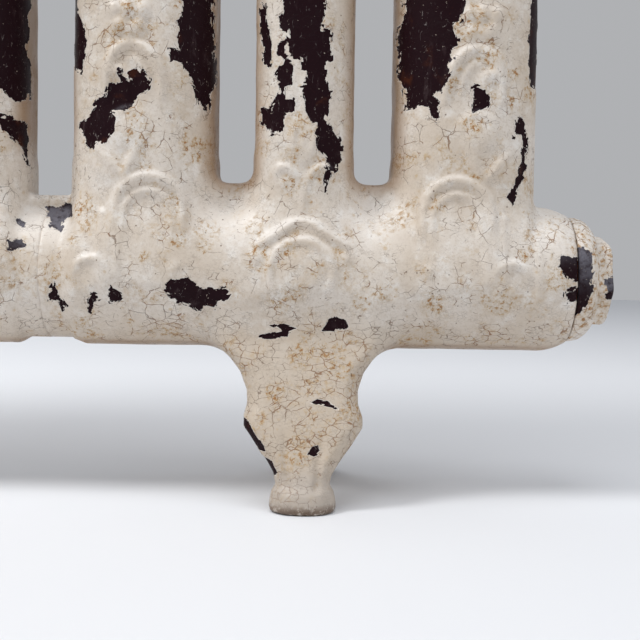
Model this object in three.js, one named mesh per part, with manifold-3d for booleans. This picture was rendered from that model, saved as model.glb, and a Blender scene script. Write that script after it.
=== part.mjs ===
// Ornate cast iron radiator: three sections of three tubes each, screwed together
// with hollow nipples through an upper and a lower header, with plugs, bushings and
// an air vent in the four outer hubs. Millimetres, +Z up, +X along the radiator,
// -Y towards the room. The origin is on the floor under the middle of the whole.

import * as THREE from 'three';
import { mergeVertices } from 'three/addons/utils/BufferGeometryUtils.js';
import Module from 'manifold-3d';

const wasm = await Module();
wasm.setup();

// ---------------------------------------------------------------- driving sizes

const LOWER_AXIS_Z = 104;        // floor to the middle of the lower header
const HEADER_CENTRES = 520;      // lower header to upper header
const UPPER_AXIS_Z = LOWER_AXIS_Z + HEADER_CENTRES;

const SECTION_PITCH = 240;       // joint plane to joint plane
const TUBE_PITCH = 75.25;        // narrow tube to wide tube
const WIDE_TUBE_WIDTH = 68;
const NARROW_TUBE_WIDTH = 47.5;
const TUBE_DEPTH = 62;
const TUBE_POWER = 2.5;          // superellipse power of a tube's outline
const WALL = 5;                  // thickness of the iron
const SLOT_FLOOR = 44;           // above the header's axis, between two tubes
const SLOT_CORNER = 6;
const SLOT_FOOT_DEPTH = 36;
const SHOULDER_FLOOR = 36.5;     // above the header's axis, beside a joint
const SHOULDER_DEPTH = 34;
const TUBE_SIDES = 20;

const HEADER_RADIUS = 34.5;
const JOINT_HUB_RADIUS = 31;
const END_HUB_RADIUS = 31;
const WATERWAY_RADIUS = HEADER_RADIUS - WALL;
const THREAD_RADIUS = 22;        // bore of a hub
const HUB_DEPTH = 24;            // length of the threaded bore
const JOINT_FACE = SECTION_PITCH / 2 - 0.8;
const END_FACE = 126.2;          // outer hub face from the section's middle
const ROUND_SIDES = 24;
const SMALL_SIDES = 20;          // nipples and gaskets

const GAP = 0.3;                 // between pieces that touch
const GASKET_THICKNESS = 1.0;
const FLANGE_LENGTH = 10.4;
const FLANGE_RIM = 30.4;
const FLANGE_TOP = 20.5;
const HEX_LENGTH = 7.1;
const HEX_CORNERS = 44.6;        // across the corners
const HEX_TURN = THREE.MathUtils.degToRad(15);
const SHANK_RADIUS = THREAD_RADIUS - GAP;
const SHANK_LENGTH = 20;
const PIPE_THREAD_RADIUS = 13.2; // bore of a bushing
const VENT_THREAD_RADIUS = 6.6;  // bore of the vent plug

const NIPPLE_LENGTH = 42;
const NIPPLE_BORE = 17.5;

const FOOT_Y = 45;               // middle of a foot pad, to the front and to the rear
const FOOT_RADIUS = 14.3;
const LEG_THICKNESS = 20;
const LEG_POWER = 4;             // superellipse power of a leg's section
const LEG_RINGS = 12;
const LEG_TOP = 86;              // inside the header

const VENT_COLLAR_LENGTH = 6;
const VENT_BODY_LENGTH = 9;
const VENT_HEAD_LENGTH = 5;
const VENT_HEAD_WIDTH = 5;       // of the square that the key turns
const VENT_HEX_CORNERS = 19;
const VENT_BARREL_RADIUS = 6;
const SPOUT_REACH = 12;          // below the vent's axis
const SPOUT_RADIUS = 2.4;
const SPOUT_BORE = 1.2;
const INLET_RADIUS = 1.4;
const WASHER_INNER = 6.9;
const WASHER_OUTER = 9.5;
const LUG_SIZE = [16, 4, 6];     // of a nipple's two lugs

const PAINT = { color: 0xded6cb, roughness: 0.5, metalness: 0.0 };
const IRON = { color: 0x3a3231, roughness: 0.75, metalness: 0.6 };
const BRASS = { color: 0xb08d4a, roughness: 0.4, metalness: 0.9 };
const FIBRE = { color: 0x7a3b2a, roughness: 0.9, metalness: 0.0 };

// ------------------------------------------------------------------- small tools

/** A closed three.js geometry as a solid that can be joined and cut. */
function solid(geometry) {
  const bare = geometry.clone();
  bare.deleteAttribute('normal');
  bare.deleteAttribute('uv');
  const merged = mergeVertices(bare, 1e-4);
  return new wasm.Manifold(new wasm.Mesh({
    numProp: 3,
    vertProperties: new Float32Array(merged.attributes.position.array),
    triVerts: new Uint32Array(merged.index.array),
  }));
}

/** A solid as a three.js geometry. */
function geometryOf(body) {
  const mesh = body.getMesh();
  const geometry = new THREE.BufferGeometry();
  geometry.setAttribute('position', new THREE.BufferAttribute(mesh.vertProperties, 3));
  geometry.setIndex(new THREE.BufferAttribute(mesh.triVerts, 1));
  geometry.computeVertexNormals();
  return geometry;
}

function join(bodies) {
  return bodies.reduce((whole, next) => whole.add(next));
}

/** A profile of [x, radius] points, from low x to high x, turned about the X axis. */
function turned(profile, sides = ROUND_SIDES) {
  const points = profile.map(([x, radius]) => new THREE.Vector2(radius, x));
  return new THREE.LatheGeometry(points, sides).rotateZ(-Math.PI / 2);
}

/** A disc or rod along X, with its ends at x0 and x1. */
function rod(x0, x1, radius, sides = ROUND_SIDES) {
  return solid(turned([[x0, 0], [x0, radius], [x1, radius], [x1, 0]], sides));
}

/** A flat ring along X. */
function ring(x0, x1, inner, outer, sides = ROUND_SIDES) {
  return rod(x0, x1, outer, sides).subtract(rod(x0 - 1, x1 + 1, inner, sides));
}

/** A hexagonal prism along X, its end face chamfered as a turned bar is. */
function hexBar(x0, x1, corners, turn) {
  const outline = new THREE.Shape();
  for (let i = 0; i < 6; i++) {
    const angle = turn + i * Math.PI / 3;
    const y = Math.cos(angle) * corners / 2;
    const z = Math.sin(angle) * corners / 2;
    if (i === 0) outline.moveTo(y, z);
    else outline.lineTo(y, z);
  }
  const prism = new THREE.ExtrudeGeometry(outline, { depth: x1 - x0, bevelEnabled: false });
  prism.applyMatrix4(new THREE.Matrix4().makeBasis(
    new THREE.Vector3(0, 1, 0), new THREE.Vector3(0, 0, 1), new THREE.Vector3(1, 0, 0)));
  prism.translate(x0, 0, 0);
  const chamfer = corners / 2 * 0.16;
  const cone = turned([
    [x0 - 1, 0], [x0 - 1, corners / 2 + 0.2], [x1 - chamfer * 0.8, corners / 2 + 0.2],
    [x1, corners / 2 - chamfer], [x1, 0]]);
  return solid(prism).intersect(solid(cone));
}

/** A superellipse outline in the XY plane. */
function tubeOutline(width, depth) {
  const outline = new THREE.Shape();
  for (let i = 0; i < TUBE_SIDES; i++) {
    const angle = (i + 0.5) * 2 * Math.PI / TUBE_SIDES;
    const c = Math.cos(angle);
    const s = Math.sin(angle);
    const x = Math.sign(c) * Math.abs(c) ** (2 / TUBE_POWER) * width / 2;
    const y = Math.sign(s) * Math.abs(s) ** (2 / TUBE_POWER) * depth / 2;
    if (i === 0) outline.moveTo(x, y);
    else outline.lineTo(x, y);
  }
  return outline;
}

// ---------------------------------------------------------------------- a section

const TUBES = [
  { x: -TUBE_PITCH, width: WIDE_TUBE_WIDTH },
  { x: 0, width: NARROW_TUBE_WIDTH },
  { x: TUBE_PITCH, width: WIDE_TUBE_WIDTH },
];

/** One vertical tube from header axis to header axis; shrink makes its bore. */
function tube({ x, width }, shrink) {
  const outline = tubeOutline(width - 2 * shrink, TUBE_DEPTH - 2 * shrink);
  const column = new THREE.ExtrudeGeometry(outline, { depth: HEADER_CENTRES, bevelEnabled: false });
  column.translate(x, 0, LOWER_AXIS_Z);
  return solid(column);
}

/** The outside of a header, as [x, radius] from the section's middle. */
function headerProfile(isEnd) {
  const shoulder = 108;
  const jointEnd = (side) => [
    [side * (shoulder - 6), HEADER_RADIUS],
    [side * (shoulder + 4), HEADER_RADIUS - 1.2],
    [side * JOINT_FACE, JOINT_HUB_RADIUS],
    [side * JOINT_FACE, 0],
  ];
  const outerEnd = [
    [shoulder, HEADER_RADIUS],
    [shoulder + 10, HEADER_RADIUS - 0.5],
    [shoulder + 15, HEADER_RADIUS - 2],
    [END_FACE, END_HUB_RADIUS],
    [END_FACE, 0],
  ];
  const right = isEnd ? outerEnd : jointEnd(1);
  return [...jointEnd(-1).reverse(), ...right];
}

/** The metal that fills the foot of a slot between two tubes, rounded as a U. */
function slotFoot(x, axisZ) {
  const half = (TUBE_PITCH - WIDE_TUBE_WIDTH / 2 - NARROW_TUBE_WIDTH / 2) / 2;
  const reach = half + WALL + 2;
  const arcs = SLOT_FLOOR + SLOT_CORNER;
  const outline = new THREE.Shape();
  outline.moveTo(-reach, 0);
  outline.lineTo(reach, 0);
  outline.lineTo(reach, arcs);
  outline.lineTo(half, arcs);
  outline.absarc(half - SLOT_CORNER, arcs, SLOT_CORNER, 0, -Math.PI / 2, true);
  outline.absarc(SLOT_CORNER - half, arcs, SLOT_CORNER, -Math.PI / 2, -Math.PI, true);
  outline.lineTo(-reach, arcs);
  outline.closePath();
  const foot = new THREE.ExtrudeGeometry(outline, {
    depth: SLOT_FOOT_DEPTH, bevelEnabled: false, curveSegments: 4,
  });
  foot.rotateX(Math.PI / 2);
  foot.translate(0, SLOT_FOOT_DEPTH / 2, 0);
  if (axisZ === UPPER_AXIS_Z) foot.rotateY(Math.PI);
  foot.translate(x, 0, axisZ);
  return solid(foot);
}

/** The flat shoulder between the last tube and a joint. */
function jointShoulder(side, axisZ) {
  const x0 = TUBE_PITCH + WIDE_TUBE_WIDTH / 2 - 8;
  const width = JOINT_FACE - x0;
  const inward = axisZ === LOWER_AXIS_Z ? 1 : -1;
  const block = new THREE.BoxGeometry(width, SHOULDER_DEPTH, SHOULDER_FLOOR);
  block.translate(side * (x0 + width / 2), 0, axisZ + inward * SHOULDER_FLOOR / 2);
  return solid(block);
}

/** The side of a leg from the floor up, as a smooth line of [half width, z] points. */
function legSide() {
  const stations = [
    [13.4, 1], [12, 11], [16.4, 21], [26.6, 37.5], [24.8, 49], [30, 62], [42, 74], [40, LEG_TOP],
  ];
  const line = new THREE.SplineCurve(stations.map(([x, z]) => new THREE.Vector2(x, z)));
  return line.getSpacedPoints(LEG_RINGS);
}

/** How far forward the middle of a leg stands at height z. */
function legLean(z) {
  const t = THREE.MathUtils.clamp(z / LEG_TOP, 0, 1);
  return THREE.MathUtils.lerp(FOOT_Y, 13, t ** 1.35);
}

/** One leg with its foot pad; it is turned about Z to make the rear one. */
function leg() {
  const side = legSide();
  const plate = new THREE.CylinderGeometry(1, 1, 1, 16, LEG_RINGS);
  const position = plate.attributes.position;
  for (let i = 0; i < position.count; i++) {
    const across = position.getX(i);
    const through = position.getZ(i);
    const { x: halfWidth, y: z } = side[Math.round((position.getY(i) + 0.5) * LEG_RINGS)];
    const halfThickness = z < 15 ? FOOT_RADIUS - 2 : LEG_THICKNESS / 2;
    const corner = 2 / LEG_POWER;
    const x = Math.sign(across) * Math.abs(across) ** corner * halfWidth;
    const y = Math.sign(through) * Math.abs(through) ** corner * halfThickness;
    position.setXYZ(i, x, -y - legLean(z), z);
  }
  const padProfile = [
    [0, 0], [0, FOOT_RADIUS - 1], [1, FOOT_RADIUS], [3, FOOT_RADIUS],
    [11, FOOT_RADIUS - 2.4], [17, 9], [17, 0],
  ].map(([z, radius]) => new THREE.Vector2(radius, z));
  const pad = new THREE.LatheGeometry(padProfile, 20);
  pad.rotateX(Math.PI / 2);
  pad.translate(0, -FOOT_Y, 0);
  return solid(plate).add(solid(pad));
}

/** A header's waterway with the threaded hub at each end. */
function waterway(isEnd, z) {
  const rightFace = isEnd ? END_FACE : JOINT_FACE;
  const bore = turned([
    [-JOINT_FACE - 1, 0],
    [-JOINT_FACE - 1, THREAD_RADIUS],
    [-JOINT_FACE + HUB_DEPTH, THREAD_RADIUS],
    [-JOINT_FACE + HUB_DEPTH + 6, WATERWAY_RADIUS],
    [rightFace - HUB_DEPTH - 6, WATERWAY_RADIUS],
    [rightFace - HUB_DEPTH, THREAD_RADIUS],
    [rightFace + 1, THREAD_RADIUS],
    [rightFace + 1, 0],
  ]);
  return solid(bore.translate(0, 0, z));
}

/** One section, cast in one piece: three tubes, two headers and, at an end, its legs. */
function section(isEnd) {
  const slotX = (TUBE_PITCH + NARROW_TUBE_WIDTH / 2 - WIDE_TUBE_WIDTH / 2) / 2;
  const outside = TUBES.map((t) => tube(t, 0));
  const inside = TUBES.map((t) => tube(t, WALL));
  for (const z of [LOWER_AXIS_Z, UPPER_AXIS_Z]) {
    outside.push(solid(turned(headerProfile(isEnd)).translate(0, 0, z)));
    outside.push(slotFoot(-slotX, z), slotFoot(slotX, z));
    outside.push(jointShoulder(-1, z));
    if (!isEnd) outside.push(jointShoulder(1, z));
    inside.push(waterway(isEnd, z));
  }
  if (isEnd) {
    const front = leg();
    outside.push(front, front.rotate([0, 0, 180]));
  }
  return geometryOf(join(outside).subtract(join(inside)));
}

// ------------------------------------------------------- nipples, plugs and gaskets

/** A hollow nipple, with the two lugs that its wrench turns it by. */
function nipple() {
  const sleeve = ring(-NIPPLE_LENGTH / 2, NIPPLE_LENGTH / 2, NIPPLE_BORE, SHANK_RADIUS, SMALL_SIDES);
  const lugs = [-1, 1].map((side) => {
    const lug = new THREE.BoxGeometry(...LUG_SIZE);
    lug.translate(0, side * (NIPPLE_BORE - 1.2), 0);
    return solid(lug);
  });
  return geometryOf(join([sleeve, ...lugs]));
}

function jointGasket() {
  const half = GASKET_THICKNESS / 2;
  return geometryOf(ring(-half, half, THREAD_RADIUS + 0.5, JOINT_HUB_RADIUS - 1.5, SMALL_SIDES));
}

// The pieces of an outer hub are drawn from its face outwards, along +X.

function hubGasket() {
  const outer = END_HUB_RADIUS - 4;
  return geometryOf(ring(GAP, GAP + GASKET_THICKNESS, THREAD_RADIUS + 0.5, outer, SMALL_SIDES));
}

const FLANGE_START = GAP + GASKET_THICKNESS + GAP;
const HEX_START = FLANGE_START + FLANGE_LENGTH;
const HEX_END = HEX_START + HEX_LENGTH;

/** A plug with a domed flange and a hexagonal head, bored right through if bore > 0. */
function hubPlug(bore) {
  const dome = [0, 0.4, 0.8, 1].map((t) => [
    FLANGE_START + 1.5 + t * (FLANGE_LENGTH - 1.5),
    THREE.MathUtils.lerp(FLANGE_TOP, FLANGE_RIM, Math.sqrt(1 - t * t)),
  ]);
  const turnedPart = turned([
    [-SHANK_LENGTH, 0], [-SHANK_LENGTH, SHANK_RADIUS - 1], [-SHANK_LENGTH + 1, SHANK_RADIUS],
    [FLANGE_START, SHANK_RADIUS], [FLANGE_START, FLANGE_RIM], ...dome, [HEX_START, 0],
  ]);
  const head = hexBar(HEX_START - 3, HEX_END, HEX_CORNERS, HEX_TURN);
  const hollow = bore > 0
    ? rod(-SHANK_LENGTH - 1, HEX_END + 1, bore, SMALL_SIDES)
    : rod(-SHANK_LENGTH - 1, 0, SHANK_RADIUS - 6, SMALL_SIDES);
  return geometryOf(solid(turnedPart).add(head).subtract(hollow));
}

// ----------------------------------------------------------------------- air vent

const WASHER_START = HEX_END + GAP;
const COLLAR_START = WASHER_START + GASKET_THICKNESS + GAP;
const COLLAR_END = COLLAR_START + VENT_COLLAR_LENGTH;
const VENT_END = COLLAR_END + VENT_BODY_LENGTH;
const SPINDLE_BORE = 2.9;
const SPINDLE_RADIUS = SPINDLE_BORE - GAP;
const SEAT_X = HEX_START;
const VENT_TIP = VENT_END + VENT_HEAD_LENGTH + 1;

function ventWasher() {
  const end = WASHER_START + GASKET_THICKNESS;
  return geometryOf(ring(WASHER_START, end, WASHER_INNER, WASHER_OUTER, SMALL_SIDES));
}

/** The brass body: a threaded shank, a hexagonal collar, a barrel and a spout. */
function ventBody() {
  const shank = rod(0, COLLAR_START + 1, VENT_THREAD_RADIUS - GAP, 20);
  const collar = hexBar(COLLAR_START, COLLAR_END, VENT_HEX_CORNERS, 0);
  const barrel = rod(COLLAR_END - 1, VENT_END, VENT_BARREL_RADIUS, 20);
  const spout = rod(0, SPOUT_REACH, SPOUT_RADIUS, 12).rotate([0, 90, 0]);
  const spoutBore = rod(0, SPOUT_REACH + 1, SPOUT_BORE, 8).rotate([0, 90, 0]);
  const spoutX = (COLLAR_END + VENT_END) / 2;
  const spindleBore = rod(SEAT_X, VENT_END + 1, SPINDLE_BORE, 16);
  const inlet = rod(-1, SEAT_X + 1, INLET_RADIUS, 8);
  return geometryOf(join([shank, collar, barrel, spout.translate([spoutX, 0, 0])])
    .subtract(join([spindleBore, inlet, spoutBore.translate([spoutX, 0, 0])])));
}

/** The bleed screw: a spindle with a pointed end and a square head for the key. */
function bleedScrew() {
  const spindle = solid(turned([
    [SEAT_X + 0.6, 0], [SEAT_X + 3, SPINDLE_RADIUS],
    [VENT_END + 1.5, SPINDLE_RADIUS], [VENT_END + 1.5, 0],
  ], 16));
  const head = new THREE.BoxGeometry(VENT_HEAD_LENGTH, VENT_HEAD_WIDTH, VENT_HEAD_WIDTH);
  head.translate(VENT_END + 1 + VENT_HEAD_LENGTH / 2, 0, 0);
  return geometryOf(spindle.add(solid(head)));
}

// ----------------------------------------------------------------------- assembly

const radiator = new THREE.Group();

/** Adds one named piece at (x, 0, z), turned half round for the left end. */
function place(name, geometry, finish, x, z, facesLeft = false) {
  const mesh = new THREE.Mesh(geometry, new THREE.MeshStandardMaterial(finish));
  mesh.name = name;
  mesh.position.set(x, 0, z);
  mesh.rotation.z = facesLeft ? Math.PI : 0;
  radiator.add(mesh);
}

const endSection = section(true);
place('end_section_left', endSection, PAINT, -SECTION_PITCH, 0, true);
place('middle_section', section(false), PAINT, 0, 0);
place('end_section_right', endSection, PAINT, SECTION_PITCH, 0);

const LEVELS = [['lower', LOWER_AXIS_Z], ['upper', UPPER_AXIS_Z]];
const JOINTS = [['left', -SECTION_PITCH / 2], ['right', SECTION_PITCH / 2]];

for (const [level, z] of LEVELS) {
  for (const [side, x] of JOINTS) {
    place(`nipple_${level}_${side}`, nipple(), IRON, x, z);
    place(`joint_gasket_${level}_${side}`, jointGasket(), FIBRE, x, z);
  }
}

const HUB_X = SECTION_PITCH + END_FACE;
const HUBS = [
  { name: 'blank_plug', bore: 0, x: HUB_X, z: LOWER_AXIS_Z, facesLeft: false },
  { name: 'vent_plug', bore: VENT_THREAD_RADIUS, x: HUB_X, z: UPPER_AXIS_Z, facesLeft: false },
  { name: 'return_bushing', bore: PIPE_THREAD_RADIUS, x: -HUB_X, z: LOWER_AXIS_Z, facesLeft: true },
  { name: 'supply_bushing', bore: PIPE_THREAD_RADIUS, x: -HUB_X, z: UPPER_AXIS_Z, facesLeft: true },
];

for (const { name, bore, x, z, facesLeft } of HUBS) {
  place(name, hubPlug(bore), PAINT, x, z, facesLeft);
  place(`${name}_gasket`, hubGasket(), FIBRE, x, z, facesLeft);
}

place('vent_washer', ventWasher(), FIBRE, HUB_X, UPPER_AXIS_Z);
place('vent_body', ventBody(), BRASS, HUB_X, UPPER_AXIS_Z);
place('bleed_screw', bleedScrew(), BRASS, HUB_X, UPPER_AXIS_Z);

// The vent reaches further out than the bushings at the other end, so the whole is
// moved to bring its middle over the origin.
radiator.position.x = -(VENT_TIP - HEX_END) / 2;

export default radiator;
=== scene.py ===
"""An old cast iron radiator, off-white paint crazed and flaking over dark iron."""

import math

import bpy
import numpy as np
from mathutils import Matrix, Vector


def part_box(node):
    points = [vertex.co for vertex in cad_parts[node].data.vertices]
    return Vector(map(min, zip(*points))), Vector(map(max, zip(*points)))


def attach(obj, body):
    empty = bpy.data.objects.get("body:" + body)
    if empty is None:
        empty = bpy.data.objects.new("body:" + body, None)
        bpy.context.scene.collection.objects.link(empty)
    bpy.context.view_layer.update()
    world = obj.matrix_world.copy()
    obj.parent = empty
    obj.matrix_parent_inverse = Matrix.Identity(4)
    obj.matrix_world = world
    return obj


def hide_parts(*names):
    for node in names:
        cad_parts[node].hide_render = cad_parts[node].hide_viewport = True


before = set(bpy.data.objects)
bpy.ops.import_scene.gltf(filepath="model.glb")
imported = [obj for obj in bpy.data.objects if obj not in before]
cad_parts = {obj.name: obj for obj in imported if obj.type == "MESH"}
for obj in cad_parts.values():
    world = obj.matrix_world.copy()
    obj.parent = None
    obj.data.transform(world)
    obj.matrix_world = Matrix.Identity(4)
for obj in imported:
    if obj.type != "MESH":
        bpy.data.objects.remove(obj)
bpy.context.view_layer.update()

MM = 0.001
DIAGONAL = 0.7071  # cosine of 45 degrees

# ---- sizes, in millimetres

LOWER_AXIS = 104.0  # floor to the middle of the lower header
UPPER_AXIS = 624.0
MIDDLE = (LOWER_AXIS + UPPER_AXIS) / 2
SECTION_PITCH = 240.0
TUBE_PITCH = 75.25
WIDE_HALF = 34.0
WIDE_CORNER = 26.0
NARROW_HALF = 23.75
NARROW_CORNER = 20.0
DEPTH_HALF = 31.0
HEADER_RADIUS = 34.5
NECK_RADIUS = 31.4  # of the header beside a joint
NECK_TAPER = (103, 110)  # where the header narrows to its neck
END_TAPER_START = 112.0
END_TAPER_LENGTH = 14.2
JOINT_FACE = 120.5  # half a millimetre over: the paint bridges the joints
END_FACE = 126.2
END_RADIUS = 30.5
THREAD_RADIUS = 22.3
BORE_DEPTH = 60.0
SLOT_HALF = 8.75
SLOT_CENTRE = 200.0  # above the axis; each slot runs on past MIDDLE
MIDDLE_SLOT = (TUBE_PITCH - WIDE_HALF + NARROW_HALF) / 2
SLOT_FLOOR = 44.0  # above the header's axis
JOINT_SLOT_FLOOR = 36.5
TUBE_EDGE = TUBE_PITCH + WIDE_HALF  # the outer side of a wide tube
FOOT_Y = 45.0
FOOT_RADIUS = 14.3
PAINT_THICKNESS = 0.35  # how far a bare patch lies below the paint

_, blank_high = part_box("blank_plug")
PLUG_TIP = 145.3  # of the blank plug, from the middle of its section
RIGHT_X = blank_high.x / MM - PLUG_TIP
MIDDLE_X = RIGHT_X - SECTION_PITCH
LEFT_X = MIDDLE_X - SECTION_PITCH
HUB_X = RIGHT_X + END_FACE


# ---- distance functions

def smooth_min(a, b, k):
    """The lesser of two distances, rounded off over k where they meet."""
    h = np.clip(0.5 + 0.5 * (b - a) / k, 0, 1)
    return b + (a - b) * h - k * h * (1 - h)


def smooth_max(a, b, k):
    return -smooth_min(-a, -b, k)


def smooth_step(x, low, high):
    t = np.clip((x - low) / (high - low), 0, 1)
    return t * t * (3 - 2 * t)


def within(x, low, high):
    """Signed distance to a slab."""
    return np.abs(x - (low + high) / 2) - (high - low) / 2


def rounded_box(x, y, half_x, half_y, corner):
    """Signed distance to a rectangle with round corners, centred at 0."""
    qx = np.abs(x) - (half_x - corner)
    qy = np.abs(y) - (half_y - corner)
    outside = np.hypot(np.maximum(qx, 0), np.maximum(qy, 0))
    return outside + np.minimum(np.maximum(qx, qy), 0) - corner


def to_stretch(u, z, start, end):
    """Distance to a straight stretch, and how far along it the nearest point is."""
    (au, az), (bu, bz) = start, end
    du, dz = bu - au, bz - az
    t = np.clip(((u - au) * du + (z - az) * dz) / (du * du + dz * dz), 0, 1)
    return np.hypot(u - au - t * du, z - az - t * dz), t


def to_line(u, z, points):
    """Distance to a polyline, and how far along it the nearest point is, from 0 to 1."""
    best = np.full(np.broadcast(u, z).shape, 1e9, np.float32)
    along = np.zeros_like(best)
    spans = len(points) - 1
    for i in range(spans):
        d, t = to_stretch(u, z, points[i], points[i + 1])
        nearer = d < best
        best = np.where(nearer, d, best)
        along = np.where(nearer, (i + t) / spans, along)
    return best, along


def curve_through(points, steps=6):
    """A smooth polyline through the points (Catmull-Rom)."""
    p = [points[0], *points, points[-1]]
    line = []
    for i in range(1, len(p) - 2):
        a, b, c, d = (np.array(q, float) for q in p[i - 1:i + 3])
        for s in range(steps):
            t = s / steps
            line.append(tuple(0.5 * (2 * b + (c - a) * t + (2 * a - 5 * b + 4 * c - d) * t * t
                                     + (3 * b - a - 3 * c + d) * t ** 3)))
    line.append(tuple(map(float, points[-1])))
    return line


def above_axis(z):
    """Height above the lower header's axis; the upper half mirrors the lower one."""
    return np.where(z < MIDDLE, z, 2 * MIDDLE - z) - LOWER_AXIS


def slot_distance(u, h):
    """Signed distance to the slots between a section's tubes."""
    half_height = SLOT_CENTRE - SLOT_FLOOR
    return rounded_box(np.abs(u) - MIDDLE_SLOT, h - SLOT_CENTRE, SLOT_HALF, half_height, 5)


def joint_gap(u, h):
    """Signed distance to the gap beyond a section's right tube, over the joint."""
    half_height = SLOT_CENTRE - JOINT_SLOT_FLOOR
    return rounded_box(u - TUBE_EDGE - 50, h - SLOT_CENTRE, 50, half_height, 2)


# ---- cast ornament
# Relief is a height over (a, h): a is the distance from the narrow tube's middle, since
# the pattern is mirrored about it, and h is the height above the header's axis.

def bead(distance, half_width, height):
    """A half-round moulding along distance 0."""
    t = np.clip(distance / half_width, 0, 1)
    return height * np.sqrt(np.maximum(1 - t * t, 0)) * (1 - 0.25 * t)


def stroke(a, h, points, width, height, taper=0.35):
    """A moulding along a curve, thinner towards its ends."""
    distance, along = to_line(a, h, curve_through(points))
    swell = taper + (1 - taper) * np.sin(np.pi * np.clip(along, 0.04, 0.96)) ** 0.6
    return bead(distance, width / 2 * swell, height * swell)


def with_strokes(relief, a, h, strokes):
    """The relief with mouldings raised from it: (points, width, height) each."""
    for points, width, height in strokes:
        relief = np.maximum(relief, stroke(a, h, points, width, height))
    return relief


def arch(a, h, centre_a, centre_h, radius, width, height):
    """A moulding round the top half of a circle, with straight legs below."""
    below = np.minimum(h - centre_h, 0)
    r = np.hypot(a - centre_a, np.maximum(h - centre_h, 0))
    fade = smooth_step(below, -15, -4)
    return bead(np.abs(r - radius), width / 2, height) * fade


def dome(a, h, centre_a, centre_h, half_a, half_h, height):
    """A rounded lump on an ellipse."""
    r = np.hypot((a - centre_a) / half_a, (h - centre_h) / half_h)
    return height * np.maximum(1 - r * r, 0) ** 0.7


def wide_tube_relief(a, h):
    """An arch, leaves, a pointed hood and a flower on the lower part of a wide tube."""
    to_arch = np.hypot(a - 70, np.maximum(h - 26.5, 0))
    relief = arch(a, h, 70, 28.5, 15.6, 5.0, 1.9)
    relief = np.maximum(relief, arch(a, h, 70, 26.5, 11.2, 3.4, 1.5))
    relief -= 1.3 * smooth_step(-to_arch, -10.0, -8.2) * smooth_step(h, 12, 22)
    for rib in (83.6, 87.4, 91.2):
        line = [(rib, -2), (rib, 34 - 0.8 * (rib - 83.6))]
        relief = np.maximum(relief, bead(to_line(a, h, line)[0], 1.7, 1.1))
    strokes = [
        ([(82, 43), (79, 49), (75.6, 56), (71.4, 63)], 5.0, 1.9),  # leaves over the arch
        ([(83, 44), (88, 50), (94, 57)], 5.0, 1.6),
        ([(88, 42), (92, 46), (96, 52)], 3.0, 1.0),
        ([(69.6, 64), (71.6, 70), (76.5, 73.6), (81.6, 73.4), (86, 70), (87.4, 64)], 4.0, 1.3),
        ([(72, 66), (74, 58)], 3.0, 1.0),  # shield's sides
        ([(86, 66), (85, 58)], 3.0, 1.0),
        ([(63.6, 79), (64.8, 89), (68.4, 97), (73, 101.8), (78, 104)], 5.2, 2.4),
        ([(78, 104), (84, 101.6), (87.8, 96), (89.8, 88), (90, 79)], 5.2, 2.4),
        ([(71, 82), (71.8, 90), (75, 95.6), (79, 96.6)], 3.4, 1.5),  # leaf in the hood
        ([(80, 78), (80.6, 86), (79.6, 92)], 3.6, 1.1),
        ([(79.6, 104), (79.8, 113)], 2.8, 1.5),  # stem and sepals
        ([(79.6, 124), (79.5, 138), (78.2, 150), (79.5, 164)], 3.0, 1.2),
        ([(79.5, 134), (73, 140), (70, 148)], 3.6, 1.2),
        ([(79.5, 134), (86, 140), (89, 148)], 3.6, 1.2),
    ]
    relief = with_strokes(relief, a, h, strokes)
    domes = [
        (78.6, 64, 8.6, 9.4, 1.7), (84.4, 91.4, 3.6, 3.2, 2.0), (84, 111.6, 3.8, 4.4, 2.2),
        (75.4, 111, 3.8, 4.2, 2.0), (80, 119, 3.6, 5.2, 2.3), (86.2, 118.6, 3.2, 4.2, 1.8),
        (73.4, 118.6, 3.2, 4.2, 1.8),
    ]
    for centre_a, centre_h, half_a, half_h, height in domes:
        relief = np.maximum(relief, dome(a, h, centre_a, centre_h, half_a, half_h, height))
    return relief


def narrow_tube_relief(a, h):
    """A leaf on a stem, with a pair of scrolls at its foot, on the narrow tube."""
    strokes = [
        ([(1, 40), (4, 46.4), (8.6, 49.4), (12.6, 47.6), (12, 43.6)], 3.6, 1.8),
        ([(12, 43.6), (9, 41.4), (6.4, 43.4)], 2.6, 1.3),
        ([(0, 28), (0.8, 36), (2, 42)], 3.2, 1.2),
        ([(0, 50), (3.6, 56), (4.8, 63), (1.4, 71)], 4.2, 1.6),
        ([(0, 72), (0, 92)], 2.8, 1.0),
    ]
    return with_strokes(dome(a, h, 0, 60, 2.6, 10, 1.4), a, h, strokes)


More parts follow.
